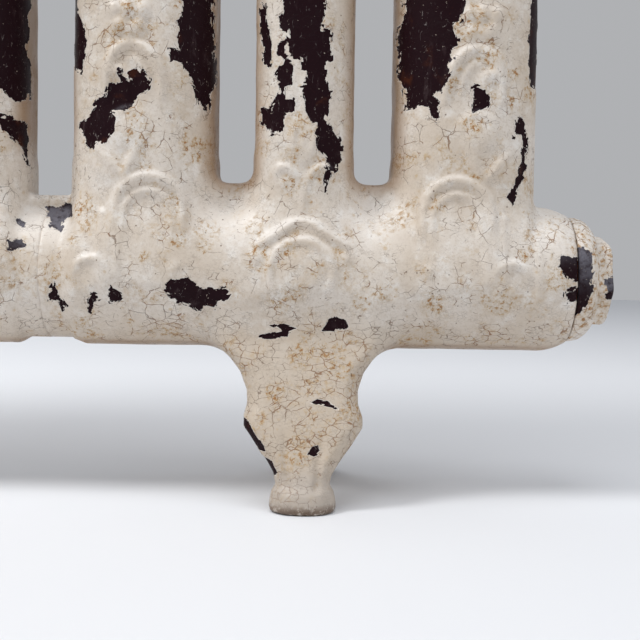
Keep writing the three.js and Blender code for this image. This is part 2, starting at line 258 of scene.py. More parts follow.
def header_relief(a, h):
    """A medallion under a hood, a sunk panel and a leafy lobe to each side, and a rim."""
    ring = bead(np.abs(np.hypot(a, h - 1.5) - 14.5), 2.0, 1.5)
    relief = ring * (0.25 + 0.75 * smooth_step(h, -12, 4))
    relief = np.maximum(relief, dome(a, h, 0, 1.5, 11.5, 11.5, 0.8))
    hood = [(20.5, 13.6), (15.5, 16.6), (10, 20), (4.5, 23.6), (-1, 25)]
    relief = np.maximum(relief, stroke(a, h, hood, 4.4, 2.1, taper=0.7))
    relief = np.maximum(relief, dome(a, h, 20.4, 8.6, 3.2, 3.8, 1.2))
    panel = rounded_box(a - 54.5, h - 8, 19, 8.8, 5.5)
    relief -= 1.2 * smooth_step(-panel, -0.6, 1.8)
    inner = rounded_box(a - 46.5, h - 7.6, 8.6, 6.2, 4)
    relief += 0.9 * smooth_step(-inner, -0.8, 1.0)
    relief += dome(a, h, 57.6, 2.8, 4.6, 4.2, 2.2)
    relief += dome(a, h, 66, 8.6, 5.6, 6.0, 1.3)
    strokes = [
        ([(85.6, -3), (88.0, 3.4), (94, 6.6), (100.4, 5.0), (103.4, -1)], 4.0, 1.9),
        ([(79, -15), (85.4, -11.4), (89.6, -5), (92, 2)], 3.2, 1.1),
        ([(96, -3), (95.4, -8), (98, -12)], 3.2, 0.9),
        ([(29, -12), (37, -9), (44, -13), (52, -10)], 3.0, 0.7),
    ]
    relief = with_strokes(relief, a, h, strokes)
    rim = smooth_step(a, 104.5, 106.5) * (1 - smooth_step(a, 108.4, 110.4))
    rim = rim * (1 - smooth_step(h, 16, 24))
    parting = np.exp(-((h + 31.4) / 1.1) ** 2) * smooth_step(a, 34, 44)
    return relief + 0.8 * rim + 1.2 * parting


def between(grid, iu, iz, tu, tz):
    """A grid's value in its cell (iu, iz), at tu and tz of the way across it."""
    bottom = grid[iu, iz] * (1 - tu) + grid[iu + 1, iz] * tu
    top = grid[iu, iz + 1] * (1 - tu) + grid[iu + 1, iz + 1] * tu
    return bottom * (1 - tz) + top * tz


def lattice_noise(rng, u, z, cell, low=-400.0, high=800.0):
    """Smooth random heights in about -1 to 1, on square cells of that size."""
    count = int((high - low) / cell) + 3
    values = rng.uniform(-1, 1, (count, count)).astype(np.float32)
    fu, fz = (u - low) / cell, (z - low) / cell
    iu, iz = np.floor(fu).astype(int), np.floor(fz).astype(int)
    tu, tz = fu - iu, fz - iz
    tu, tz = tu * tu * (3 - 2 * tu), tz * tz * (3 - 2 * tz)
    return between(values, iu, iz, tu, tz)


def relief_over(u, z, seed):
    """The ornament's height over a section's whole face, lower and upper halves alike."""
    a = np.abs(u)
    h = above_axis(z)
    on_tubes = smooth_step(h, 20, 30)
    wide = wide_tube_relief(a, h)
    relief = np.where(a > 30, wide, narrow_tube_relief(a, h) * on_tubes)
    relief = np.maximum(relief, header_relief(a, h) * (1 - smooth_step(h, 24, 30)))
    relief = 1.1 * blurred(relief.reshape(relief.shape[0], -1), 2).reshape(relief.shape)
    rng = np.random.default_rng(seed)
    wobble = 0.16 * lattice_noise(rng, u, z, 13) + 0.09 * lattice_noise(rng, u, z, 5)
    return relief, wobble


# ---- a section's casting

LEG_STATIONS = np.array([  # height, half width, half thickness, middle forward of 0
    [-4, 13.6, 13.6, 45], [3, 13.2, 13.2, 45], [11, 11.6, 12.2, 44.2], [16, 13.0, 11.2, 43],
    [21, 16.2, 10.4, 41.5], [28, 21.4, 10.0, 39.4], [36, 27.0, 10.0, 36.6], [40, 27.2, 10.0, 34.9],
    [46, 25.3, 10.2, 32.4], [52, 25.4, 10.6, 29.6], [60, 28.4, 11.4, 25.8], [66, 33.0, 12.4, 22.6],
    [71, 38.0, 13.4, 19.6], [76, 40.0, 14.4, 16.6], [90, 38.0, 15.0, 12.0],
])


def leg_distance(u, y, z):
    """Signed distance to a leg; y is measured away from the radiator's middle plane."""
    at = LEG_STATIONS[:, 0]
    u = u - 2 * (1 - smooth_step(z, 20, 90))
    half_u, half_y, forward = (np.interp(z, at, LEG_STATIONS[:, i]) for i in (1, 2, 3))
    qu = np.abs(u) - half_u
    qy = np.abs(y - forward) - half_y
    square = smooth_max(qu, qy, 3)
    chamfer = (qu + qy + 6.0) * DIAGONAL
    plate = smooth_max(square, chamfer, 2.0)
    crease = 1.7 * np.exp(-((np.abs(u) - 5.5 - 0.12 * np.clip(z - 8, 0, 40)) / 1.7) ** 2)
    crease = crease * smooth_step(z, 6, 12) * (1 - smooth_step(z, 24, 40))
    plate = (plate + crease) * 0.92
    plate = smooth_max(plate, z - 92, 4)
    r = np.hypot(u, y - FOOT_Y)
    pad = smooth_max(r - FOOT_RADIUS + 0.12 * np.maximum(z - 3, 0), z - 9, 3)
    return smooth_max(smooth_min(plate, pad, 4), 0.15 - z, 1.5)


def section_distance(u, y, z, is_end, seed):
    """Signed distance to a casting. y is 0 or more: the casting is alike front and back."""
    h = above_axis(z)
    wide = rounded_box(np.abs(u) - TUBE_PITCH, y, WIDE_HALF, DEPTH_HALF, WIDE_CORNER)
    narrow = rounded_box(u, y, NARROW_HALF, DEPTH_HALF, NARROW_CORNER)
    tubes = smooth_max(np.minimum(wide, narrow), -h, 2)

    radius = HEADER_RADIUS - (HEADER_RADIUS - NECK_RADIUS) * smooth_step(-u, *NECK_TAPER)
    if is_end:
        taper = np.clip((u - END_TAPER_START) / END_TAPER_LENGTH, 0, 1) ** 2
        radius = radius - (HEADER_RADIUS - END_RADIUS) * taper
    else:
        radius = radius - (HEADER_RADIUS - NECK_RADIUS) * smooth_step(u, *NECK_TAPER)
    header = np.hypot(y, h) - radius
    outside = smooth_step(np.abs(u), 102, 111)
    body = smooth_min(tubes, header, 15 - 11 * outside)

    cut = slot_distance(u, h)
    open_space = np.minimum(cut, joint_gap(-u, h))
    if not is_end:
        open_space = np.minimum(open_space, joint_gap(u, h))
    web = smooth_max(-open_space, y - 11, 5)
    web = smooth_max(web, h - SLOT_FLOOR - 8, 2)
    if is_end:
        web = smooth_max(web, u - (TUBE_EDGE - 12), 3)
    web = np.maximum(web, -h)
    body = smooth_min(body, web, 9 - 6 * outside)
    body = smooth_max(body, -cut, 2.5)

    relief, wobble = relief_over(u, z, seed)
    facing = smooth_step(y, 6, 15)
    body = body - relief * facing - wobble
    if is_end:
        leg = leg_distance(u, y, z) - 0.5 * wobble
        body = smooth_min(body, leg, 12 * smooth_step(z, 40, 70) + 1)

    right = END_FACE if is_end else JOINT_FACE
    body = np.maximum(body, -u - JOINT_FACE)
    body = np.maximum(body, u - right)
    bore = np.hypot(y, h) - THREAD_RADIUS
    ends = np.minimum(u + JOINT_FACE - BORE_DEPTH, right - BORE_DEPTH - u)
    return smooth_max(body, -np.maximum(bore, ends), 0.8)


# ---- meshing

def surface_net(field, xs, ys, zs):
    """Vertices and quads of the surface field = 0 on a grid; field is negative inside."""
    inside = field < 0
    corners = sum(
        inside[i:inside.shape[0] - 1 + i, j:inside.shape[1] - 1 + j, k:inside.shape[2] - 1 + k]
        .astype(np.int8)
        for i in (0, 1) for j in (0, 1) for k in (0, 1))
    active = (corners > 0) & (corners < 8)
    ci, cj, ck = np.nonzero(active)
    index = np.full(active.shape, -1, np.int32)
    index[active] = np.arange(len(ci), dtype=np.int32)
    total = np.zeros((len(ci), 3))
    count = np.zeros(len(ci))
    axes = (xs, ys, zs)
    for axis in range(3):
        for p in (0, 1):
            for q in (0, 1):
                start = [0, 0, 0]
                start[(axis + 1) % 3] = p
                start[(axis + 2) % 3] = q
                end = list(start)
                end[axis] = 1
                f0 = field[ci + start[0], cj + start[1], ck + start[2]]
                f1 = field[ci + end[0], cj + end[1], ck + end[2]]
                cross = (f0 < 0) != (f1 < 0)
                t = f0 / np.where(cross, f0 - f1, 1)
                cell = (ci, cj, ck)
                for n in range(3):
                    low = axes[n][cell[n] + start[n]]
                    high = axes[n][cell[n] + end[n]]
                    total[:, n] += np.where(cross, low + (high - low) * t, 0)
                count += cross
    vertices = total / count[:, None]

    quads = []
    for axis in range(3):
        one = [slice(1, -1)] * 3
        one[axis] = slice(0, -1)
        two = [slice(1, -1)] * 3
        two[axis] = slice(1, None)
        a, b = inside[tuple(one)], inside[tuple(two)]
        for flips, where in ((False, a & ~b), (True, ~a & b)):
            i, j, k = np.nonzero(where)
            base = [i + 1, j + 1, k + 1]
            base[axis] = base[axis] - 1
            ring = []
            for p, q in ((-1, -1), (0, -1), (0, 0), (-1, 0)):
                cell = list(base)
                cell[(axis + 1) % 3] = cell[(axis + 1) % 3] + p
                cell[(axis + 2) % 3] = cell[(axis + 2) % 3] + q
                ring.append(index[cell[0], cell[1], cell[2]])
            quad = np.stack(ring, 1)
            quads.append(quad[:, ::-1] if flips else quad)
    return vertices, np.concatenate(quads)


def mesh_from(name, vertices, quads):
    """A smooth-shaded mesh of quads, in metres."""
    mesh = bpy.data.meshes.new(name)
    mesh.vertices.add(len(vertices))
    mesh.vertices.foreach_set("co", (vertices * MM).astype(np.float32).ravel())
    mesh.loops.add(quads.size)
    mesh.loops.foreach_set("vertex_index", quads.astype(np.int32).ravel())
    mesh.polygons.add(len(quads))
    mesh.polygons.foreach_set("loop_start", np.arange(0, quads.size, 4, dtype=np.int32))
    mesh.update(calc_edges=True)
    mesh.validate()
    mesh.polygons.foreach_set("use_smooth", np.ones(len(mesh.polygons), bool))
    return mesh


def mirrored(half):
    """A field over y >= 0 continued to y < 0 along axis 1."""
    return np.concatenate([half[:, :0:-1, :], half], axis=1)


def spaced(*stretches):
    """Grid lines: (from, to, step) stretches joined end to end."""
    lines = [np.arange(low, high, step) for low, high, step in stretches]
    return np.concatenate([*lines, [stretches[-1][1]]]).astype(np.float32)


FINE_STEP = 1.15  # of the castings' grid, where the camera is near
PLUG_STEP = 0.7
SCREW_STEP = 0.3
VENT_STEP = 0.4


# ---- where the paint has come away
# Outlines of the large bare patches on the front, in millimetres: across from the
# middle of the right section, and up from the floor.

BARE_PATCHES = [
    # the narrow tube
    [(-20.5, 229), (-18.5, 228), (-18, 217), (-15.5, 216), (-15, 209), (-16, 199.5), (-18.5, 201),
     (-19.5, 208), (-21, 219)],
    [(-7, 262), (-11, 254), (-9.5, 240), (-9.5, 222), (-12, 220), (-11, 215), (-8, 214.5), (-7.5, 208),
     (-6, 202.5), (-1.5, 202), (-1.5, 197), (1, 196.5), (1, 191), (-1.5, 189), (0.5, 180), (3.5, 173),
     (6.5, 174.5), (6, 162), (10, 158), (12, 152), (14, 151.5), (18.5, 158), (17, 167), (14.5, 170),
     (12, 173), (10, 172), (10.5, 181), (12, 188), (9.5, 192), (9.5, 201), (12.5, 201.5), (11.5, 215.5),
     (7.5, 215), (9, 221), (9, 244), (12, 259), (8, 281), (3, 290), (4, 306), (-1, 309), (-3, 284),
     (-8, 276)],
    [(10, 154), (12.5, 151.5), (11, 146), (10, 142.5), (9, 146)],
    [(-13, 208.5), (-9, 209), (-9, 203), (-5.5, 202), (-6, 190), (-8.5, 189.5), (-8.5, 184),
     (-5, 183.5), (-4, 178), (-7, 177), (-9, 179), (-10, 169), (-14.5, 168), (-17.5, 173), (-20, 172.5),
     (-20, 181.5), (-16, 179), (-11, 187), (-13, 195), (-9.5, 201), (-12, 204)],
    # the right wide tube
    [(47, 262), (43, 251), (46, 222.5), (42.5, 219), (42.5, 211), (44, 208), (43, 200), (46, 190),
     (47, 180.5), (52, 182), (57, 181), (58.5, 176), (61, 175), (61, 184), (58, 188), (62, 187.5),
     (66, 198), (65, 200.5), (67, 202.5), (66, 207.5), (69, 208.5), (69, 213), (66.5, 218.5),
     (70, 219.5), (71.5, 228), (70, 250), (74, 268), (71, 290), (65, 296), (67, 321), (61, 338),
     (57, 317), (52, 311), (53, 286), (48, 279)],
    [(76, 178.5), (76, 190), (77.5, 191), (81, 189.5), (83.5, 186.5), (83, 182)],
    [(103.5, 252), (106, 278), (112, 291), (112, 193), (104.5, 193), (102.5, 203)],
    [(97.5, 178.5), (101.5, 176), (103, 165), (101.5, 152), (95.5, 138), (93.5, 141), (97.5, 150),
     (100.5, 158.5), (99.5, 170), (95.5, 168.5)],
    # the left wide tube
    [(-112, 272), (-107, 260), (-105, 238), (-106, 226), (-100.5, 214), (-99.5, 208), (-102, 195),
     (-107, 198), (-112, 205)],
    [(-54, 276), (-58, 262), (-57, 240), (-55.5, 221), (-58.5, 218), (-57, 214), (-58, 209),
     (-57, 205.5), (-61, 206), (-60, 200), (-55.5, 199.5), (-51, 190.5), (-48, 181), (-45, 179.5),
     (-42.5, 192), (-41.5, 200), (-43.5, 220), (-42, 250), (-46, 268), (-44, 281), (-48, 287)],
    [(-85.5, 197.5), (-83, 196.5), (-82, 192), (-76, 190), (-79, 194), (-77, 195.5), (-73, 195.5),
     (-69.5, 191.5), (-70, 187.5), (-74.5, 185), (-79, 178), (-88, 176.5), (-85, 174), (-86, 168.5),
     (-91, 163), (-94.5, 163.5), (-96, 160), (-100, 163.5), (-103.5, 172.5), (-98, 176), (-94, 182.5),
     (-90.5, 184), (-88, 189), (-82, 190)],
    # the middle section's last tube
    [(-144, 312), (-150, 284), (-147, 262), (-150, 250), (-149, 232), (-148, 220), (-143, 190),
     (-134, 183), (-131, 186), (-128, 192), (-129, 252), (-133, 276), (-131, 299), (-138, 306)],
    [(-142, 176), (-130, 174), (-128, 172), (-127, 150), (-129, 150), (-132, 162), (-138, 168)],
    # the lower header
    [(-15, 81.5), (-9, 82.5), (-0.5, 80.5), (-5, 78.5), (-6, 76), (-20, 75), (-20.5, 76), (-9, 79)],
    [(10, 79.5), (13, 84), (15, 86), (21, 84), (22, 81), (20, 79.5)],
    [(-61.5, 96), (-60, 101.5), (-51, 101.5), (-46, 98.5), (-39, 97.5), (-34, 98.5), (-31.5, 97),
     (-34, 93), (-38, 92), (-38.5, 88), (-44, 89), (-46, 87), (-52, 90), (-56, 91.5)],
    [(-112, 100.5), (-110.5, 93), (-106.5, 89.5), (-110, 86), (-110.5, 90), (-116, 91), (-115.5, 95)],
    [(-97, 92), (-94, 95), (-91, 93), (-94.5, 90.5), (-95.5, 85), (-97, 86)],
    [(-88, 92), (-85.5, 98), (-80.5, 94.5), (-83, 91), (-87, 90.5)],
    [(-121, 135), (-109, 136), (-106.5, 130), (-111, 129), (-111, 123), (-115, 124), (-119, 130)],
    [(-134, 118), (-126, 119), (-126, 115), (-133, 114)],
    [(-133, 128), (-127, 127), (-129, 125)],
    # beside the plug's seam, and the leg
    [(116, 110), (118, 115), (128, 113), (128, 103), (120, 105.5)],
    [(119, 99), (128, 101), (128, 95), (121, 94)],
    [(-27, 41), (-23, 39), (-20, 34), (-16, 29.5), (-14.5, 26), (-18, 26.5), (-23, 31)],
    [(-17, 24), (-12, 22.5), (-8.6, 17), (-11, 15.6), (-16, 19)],
    [(4.2, 25.6), (6, 29), (8.6, 29.2), (10, 27), (7.6, 24.6)],
    [(4, 47), (8, 49), (12.6, 48.4), (17.6, 45), (12.6, 46), (9, 47)],
]

PLUG_PATCHES = [  # on the plug: along it from the hub's face, and up
    [(-2, 119), (5, 119), (7.2, 115), (7.6, 109), (6.2, 106), (6.8, 98), (4.6, 92), (-2, 85)],
    [(15.6, 105), (21, 107), (21, 95), (16, 94.5), (15.2, 99)],
]

RUST_SPOTS = [  # across, up, radius
    (115, 104, 6), (-113, 104, 5), (-19.5, 113, 4.5), (7, 107, 4), (90, 91, 4), (76, 173, 4),
    (82, 203, 5), (76, 221, 4), (73, 216, 4), (67, 190, 4), (-76, 175, 5), (-78, 165, 3),
    (-78, 223, 5), (-84, 212, 4), (-46, 161, 6), (77, 148, 4), (62, 138, 4), (-59, 137, 3),
    (-57, 120, 3), (-6, 145, 4), (7, 150, 4), (-2, 170, 5), (-3, 159, 3), (-99, 133, 5),
    (-72, 112, 3), (0, 68, 5), (20, 62, 4), (-12, 52, 4), (24, 42, 4), (-79, 82, 3), (46, 158, 4),
    (95, 197, 3), (95, 184, 3), (100, 114, 3), (-44, 116, 3), (60, 92, 4), (28, 92, 4),
]


def outline_distance(u, z, points):
    """Signed distance to a closed outline, negative inside it."""
    best = np.full(u.shape, 1e9)
    sign = np.ones(u.shape)
    for start, end in zip(points, points[1:] + points[:1]):
        best = np.minimum(best, to_stretch(u, z, start, end)[0])
        (au, az), (bu, bz) = start, end
        crosses = (az > z) != (bz > z)
        reach = au + (z - az) * (bu - au) / np.where(bz == az, 1e-9, bz - az)
        sign = np.where(crosses & (u < reach), -sign, sign)
    return best * sign


def bare_distance(u, y, z, patches):
    """Signed distance in millimetres to the nearest bare patch; they lie on the front only."""
    best = np.full(u.shape, 9.0)
    behind = y + 5 + 3.5 * np.sin(z / 8) + 2 * np.sin(z / 2.7)
    for points in patches:
        us, zs = zip(*points)
        near = ((u > min(us) - 9) & (u < max(us) + 9) & (z > min(zs) - 9) & (z < max(zs) + 9)
                & (y < 4))
        d = outline_distance(u[near], z[near], points)
        best[near] = np.minimum(best[near], np.maximum(d, behind[near]))
    return best


def grime_and_shade_near(u, z, facing, is_end):
    """Grime and painted shade beside and under the slots, thickest on the flanks inside them, with a
    dark line along the lower header's underside, from 0 to 1.
    """
    h = above_axis(z)
    to_slot = slot_distance(u, h)
    beside = 1 - smooth_step(to_slot, 0.5, 8)
    flank = smooth_step(1 - np.abs(facing), 0.30, 0.75) * smooth_step(h, 44, 70)
    if is_end:
        flank = flank * (1 - smooth_step(u, 82, 100))
    ledge = np.exp(-((z - LOWER_AXIS + 32.6) / 1.5) ** 2) * smooth_step(np.abs(u), 34, 46)
    return np.maximum(np.maximum(0.85 * beside, flank), 0.9 * ledge)


def rust_near(u, y, z):
    """How near a point on the front is to a rust spot, from 0 to 1."""
    total = np.zeros(u.shape)
    for spot_u, spot_z, radius in RUST_SPOTS:
        total += np.exp(-((u - spot_u) ** 2 + (z - spot_z) ** 2) / radius ** 2)
    return np.minimum(total, 1) * (y < 4)


# ---- building pieces

def set_wear_and_painted_light(mesh, **layers):
    """Named numbers at each vertex, which the painted iron's material reads: wear, and masks for
    painted light and shade.
    """
    for name, values in layers.items():
        values = np.broadcast_to(values, len(mesh.vertices))
        layer = mesh.attributes.new(name, "FLOAT", "POINT")
        layer.data.foreach_set("value", np.ascontiguousarray(values, np.float32))


def coordinates(mesh):
    """The vertices' places, one row each, in metres."""
    co = np.empty(len(mesh.vertices) * 3, np.float32)
    mesh.vertices.foreach_get("co", co)
    return co.reshape(-1, 3).astype(float)


def move_vertices(mesh, co):
    """Gives the mesh's vertices these places, in metres."""
    mesh.vertices.foreach_set("co", co.astype(np.float32).ravel())
    mesh.update()


def normals(mesh):
    """The vertices' normals, one row each."""
    flat = np.empty(len(mesh.vertices) * 3, np.float32)
    mesh.vertex_normals.foreach_get("vector", flat)
    return flat.reshape(-1, 3)


def new_object(name, data):
    """An object in the scene."""
    thing = bpy.data.objects.new(name, data)
    bpy.context.scene.collection.objects.link(thing)
    return thing


def blurred(grid, times):
    """A grid of heights, smoothed a few times."""
    for _ in range(times):
        grid = np.pad(grid, 1, mode="edge")
        grid = (grid[:-2, 1:-1] + grid[2:, 1:-1] + grid[1:-1, :-2] + grid[1:-1, 2:]
                + grid[1:-1, 1:-1] * 2) / 6
    return grid


def sampled(grid, us, zs, u, z):
    """Values of a grid at points, between its lines."""
    fu = np.interp(u, us, np.arange(len(us)))
    fz = np.interp(z, zs, np.arange(len(zs)))
    iu = np.minimum(fu.astype(int), len(us) - 2)
    iz = np.minimum(fz.astype(int), len(zs) - 2)
    return between(grid, iu, iz, fu - iu, fz - iz)


def thinned(mesh, keep):
    """The mesh with half its triangles, mostly taken away from the vertices to keep."""
    piece = new_object("thinning", mesh)
    group = piece.vertex_groups.new(name="thin")
    group.add(np.nonzero(~keep)[0].tolist(), 1.0, "REPLACE")
    group.add(np.nonzero(keep)[0].tolist(), 0.02, "REPLACE")
    modifier = piece.modifiers.new("thin", "DECIMATE")
    modifier.ratio = 0.5
    modifier.vertex_group = "thin"
    modifier.vertex_group_factor = 1.0
    graph = bpy.context.evaluated_depsgraph_get()
    thin = bpy.data.meshes.new_from_object(piece.evaluated_get(graph))
    bpy.data.objects.remove(piece)
    bpy.data.meshes.remove(mesh)
    return thin


def casting(name, is_end, seed):
    """A section's mesh about its own middle, and its relief over (us, zs)."""
    us = spaced((-121, 127.5 if is_end else 121, FINE_STEP))
    ys = spaced((0, 61 if is_end else 39, FINE_STEP))
    lowest = -1.0 if is_end else 66.0
    zs = spaced((lowest, 242, FINE_STEP), (242, 492, 3.8), (492, 662, 1.7))
    u, y, z = us[:, None, None], ys[None, :, None], zs[None, None, :]
    half = section_distance(u, y, z, is_end, seed).astype(np.float32)
    full_y = np.concatenate([-ys[:0:-1], ys])
    vertices, quads = surface_net(mirrored(half), us, full_y, zs)
    mesh = mesh_from(name, vertices, quads)
    co = coordinates(mesh) / MM
    keep = (co[:, 1] < 6) & (co[:, 2] < 240)
    mesh = thinned(mesh, keep)
    relief, _ = relief_over(us[:, None], zs[None, :], seed)
    return mesh, us, zs, relief


def finish_casting(name, node, base, x, flip):
    """Places one section, adds its bare patches, its wear and its masks for painted light and shade,
    and puts it in place of its CAD node.
    """
    mesh, us, zs, relief = base
    mesh = mesh.copy()
    mesh.name = name
    co = coordinates(mesh)
    if flip:
        co[:, 0] *= -1
        mesh.flip_normals()
    u, y, z = (co / MM).T
    from_right = u + (x - RIGHT_X)
    bare = bare_distance(from_right, y, z, BARE_PATCHES)
    co[:, 0] += x * MM
    move_vertices(mesh, co)
    normal = normals(mesh)
    sunk = PAINT_THICKNESS * smooth_step(-bare, -0.4, 0.6)
    co -= normal * sunk[:, None] * MM
    move_vertices(mesh, co)
    own_u = -u if flip else u
    # how sunk the relief is: the material paints shade in these hollows and lays rust stains there
    hollow = blurred(relief, 10) - relief
    facing = smooth_step(np.abs(y), 6, 15)
    drawn = (from_right > -150) & (z < 250) & (y < 12)  # where outlines say what is bare
    set_wear_and_painted_light(
        mesh,
        bare=bare,
        hollow=sampled(hollow, us, zs, own_u, z) * facing,
        flank=grime_and_shade_near(own_u, z, normal[:, 1], node != "middle_section"),
        upward=smooth_step(normal[:, 2], 0.1, 0.7),
        wild=np.where(drawn, 0.0, 1.0) * smooth_step(z, 20, 60),
        # the leg lies under the header: the material paints shade on it and crazes it closer
        leg=1 - smooth_step(z, 66, 96),
        rust=rust_near(from_right, y, z),
    )
    hand_over(name, mesh, node, PAINTED)


def hand_over(name, mesh, node, material, body="radiator"):
    """Makes the piece that stands for a CAD node and rides on its body."""
    piece = new_object(name, mesh)
    piece.data.materials.clear()
    piece.data.materials.append(material)
    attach(piece, body)
    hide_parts(node)


# ---- plugs and bushings

HEX_CORNERS = 44.6
HEX_TURN = math.radians(15)
PLUG_SHANK_RADIUS = 21.7
FLANGE_LIP = 0.3  # the paint closes most of the seam
FLANGE_SHOULDER = 1.5  # from here the flange is domed
FLANGE_END = 12.0
DOME_TOP = 20.5  # radius where the dome meets the head
DOME_RISE = 9.3
HEAD_START = 6
POCKET_RADIUS = 15.7  # of the blank plug's hollow shank
SEAT_RADIUS = 27.5  # of the hollow that takes the gasket
SEAT_FACE = 1.65
PLUG_END = 19.1
VENT_BORE = 6.6  # radii
PIPE_BORE = 13.2


def hex_distance(y, z, corners, turn):
    """Signed distance to a hexagonal bar's flats."""
    flat = corners / 2 * math.cos(math.pi / 6)
    best = None
    for i in range(6):
        angle = turn + (i + 0.5) * math.pi / 3
        side = y * math.cos(angle) + z * math.sin(angle) - flat
        best = side if best is None else smooth_max(best, side, 1.2)
    return best


def plug_distance(x, y, z, bore):
    """Signed distance to a hub plug; x runs out from the hub's face."""
    r = np.hypot(y, z)
    shank = smooth_max(r - PLUG_SHANK_RADIUS, within(x, -20, 2), 0.8)
    t = np.clip((x - FLANGE_SHOULDER) / (FLANGE_END - FLANGE_SHOULDER), 0, 1)
    rim = DOME_TOP + DOME_RISE * np.sqrt(np.maximum(1 - t * t, 0))
    flange = smooth_max((r - rim) * 0.75, within(x, FLANGE_LIP, FLANGE_END), 1.0)
    flange = np.maximum(flange, -np.maximum(r - SEAT_RADIUS, x - SEAT_FACE))
    length = within(x, HEAD_START, PLUG_END)
    head = smooth_max(hex_distance(y, z, HEX_CORNERS, HEX_TURN), length, 1.4)
    chamfer = (r - HEX_CORNERS / 2 + 1.2 + (x - PLUG_END) * 0.9) * 0.74
    head = smooth_max(head, chamfer, 1.2)
    plug = smooth_min(smooth_min(flange, head, 1.6), shank, 0.6)
    if bore > 0:
        return smooth_max(plug, bore - r, 0.8)
    return smooth_max(plug, -np.maximum(r - POCKET_RADIUS, x), 1.0)


def plug_mesh(name, bore, seed):
    """A plug's mesh about its hub's face; a bore of 0 makes a blank plug."""
    xs = spaced((-21, PLUG_END + 1, PLUG_STEP))
    ys = spaced((-31, 31, PLUG_STEP))
    field = plug_distance(xs[:, None, None], ys[None, :, None], ys[None, None, :], bore)
    rng = np.random.default_rng(seed)
    wobble = 0.16 * lattice_noise(rng, ys[:, None], ys[None, :], 4.5)
    field = field - wobble[None, :, :] * smooth_step(xs, 0, 2)[:, None, None]
    vertices, quads = surface_net(field.astype(np.float32), xs, ys, ys)
    return mesh_from(name, vertices, quads)


def place_plug(node, bore, axis_z, faces_left, seed):
    """Makes one plug or bushing and puts it on its hub, with its wear and the upward mask for painted
    top light and sheen.
    """
    name = node + "_painted"
    mesh = plug_mesh(name, bore, seed)
    co = coordinates(mesh) / MM
    bare = np.full(len(co), 9.0)
    if not faces_left and bore == 0:
        bare = bare_distance(co[:, 0], co[:, 1], co[:, 2] + axis_z, PLUG_PATCHES)
    if faces_left:
        co[:, :2] *= -1
    co[:, 0] += LEFT_X - END_FACE if faces_left else HUB_X
    co[:, 2] += axis_z
    move_vertices(mesh, co * MM)
    upward = smooth_step(normals(mesh)[:, 2], -0.3, 0.5)
    wild = 0.0 if bore == 0 else 0.8
    set_wear_and_painted_light(mesh, bare=bare, hollow=0, flank=0, upward=upward, wild=wild, leg=0, rust=0.4)
    hand_over(name, mesh, node, PAINTED)


# ---- air vent, in brass
# x runs out from the hub's face; the vent's axis is y = z = 0.

COLLAR_START = 20.7
COLLAR_END = 26.7
VENT_END = 35.7
VENT_HEAD_START = 36.7
VENT_TIP = 41.7
SPOUT_X = (COLLAR_END + VENT_END) / 2
SEAT_X = 12.0  # the screw's point closes the inlet here
VENT_SHANK_RADIUS = 6.3
COLLAR_CORNERS = 18.6
BARREL_RADIUS = 6.0
SPOUT_RADIUS = 1.9
SPOUT_LENGTH = 12.0
SPOUT_BORE = 1.2  # radii
SPINDLE_BORE = 2.9
INLET_BORE = 1.4
SPINDLE_RADIUS = 2.6
SQUARE_HALF = 2.5  # of the head for the key


def vent_distance(x, y, z):
    """The vent's body: shank, hexagonal collar, stepped barrel and spout, with its bores."""
    r = np.hypot(y, z)
    shank = smooth_max(r - VENT_SHANK_RADIUS, within(x, 0.3, COLLAR_START + 1), 0.5)
    collar = hex_distance(y, z, COLLAR_CORNERS, 0)
    collar = smooth_max(collar, within(x, COLLAR_START, COLLAR_END), 0.5)
    nose = (r - 9.5 + (x - COLLAR_END + 1.6) * 0.8) * 0.78
    collar = smooth_max(collar, nose, 0.5)
    barrel = r - BARREL_RADIUS + 0.5 * smooth_step(x, 28.6, 29.0) * (1 - smooth_step(x, 29.6, 30.0))
    barrel = smooth_max(barrel, within(x, COLLAR_END - 1, VENT_END), 1.1)
    across = np.hypot(x - SPOUT_X, y)
    spout = smooth_max(across - SPOUT_RADIUS + 0.05 * z, within(z, -SPOUT_LENGTH, 0), 0.5)
    lip = smooth_max(across - 2.4, within(z, -11.9, -10.4), 0.5)
    body = smooth_min(smooth_min(collar, shank, 0.4), barrel, 0.8)
    body = smooth_min(smooth_min(body, spout, 1.0), lip, 0.3)
    spindle_bore = np.maximum(r - SPINDLE_BORE, SEAT_X - x)
    spout_bore = np.maximum(across - SPOUT_BORE, z)
    inlet = np.maximum(r - INLET_BORE, x - SEAT_X - 1)
    return smooth_max(body, -np.minimum(np.minimum(spindle_bore, spout_bore), inlet), 0.3)


def screw_distance(x, y, z):
    """The bleed screw: a pointed spindle and a tapered square head for the key."""
    r = np.hypot(y, z)
    point = (r - 0.3 - (x - SEAT_X - 0.6)) * 0.7
    spindle = smooth_max(r - SPINDLE_RADIUS, within(x, SEAT_X + 0.6, VENT_HEAD_START + 0.5), 0.3)
    spindle = smooth_max(spindle, point, 0.3)
    half = SQUARE_HALF - 0.05 * np.maximum(x - VENT_HEAD_START, 0)
    square = smooth_max(np.abs(y) - half, np.abs(z) - half, 0.5)
    head = smooth_max(square, within(x, VENT_HEAD_START, VENT_TIP), 0.6)
    head = smooth_max(head, (r - 3.5 + (x - VENT_TIP) * 0.5) * 0.85, 0.4)
    return smooth_min(spindle, head, 0.4)


def place_brass(name, node, distance, xs, ys, body):
    """Makes a brass piece on the upper right hub from its distance function."""
    field = distance(xs[:, None, None], ys[None, :, None], ys[None, None, :])
    vertices, quads = surface_net(field.astype(np.float32), xs, ys, ys)
    vertices = vertices + np.array([HUB_X, 0, UPPER_AXIS])
    hand_over(name, mesh_from(name, vertices, quads), node, BRASS, body)


# ---- materials

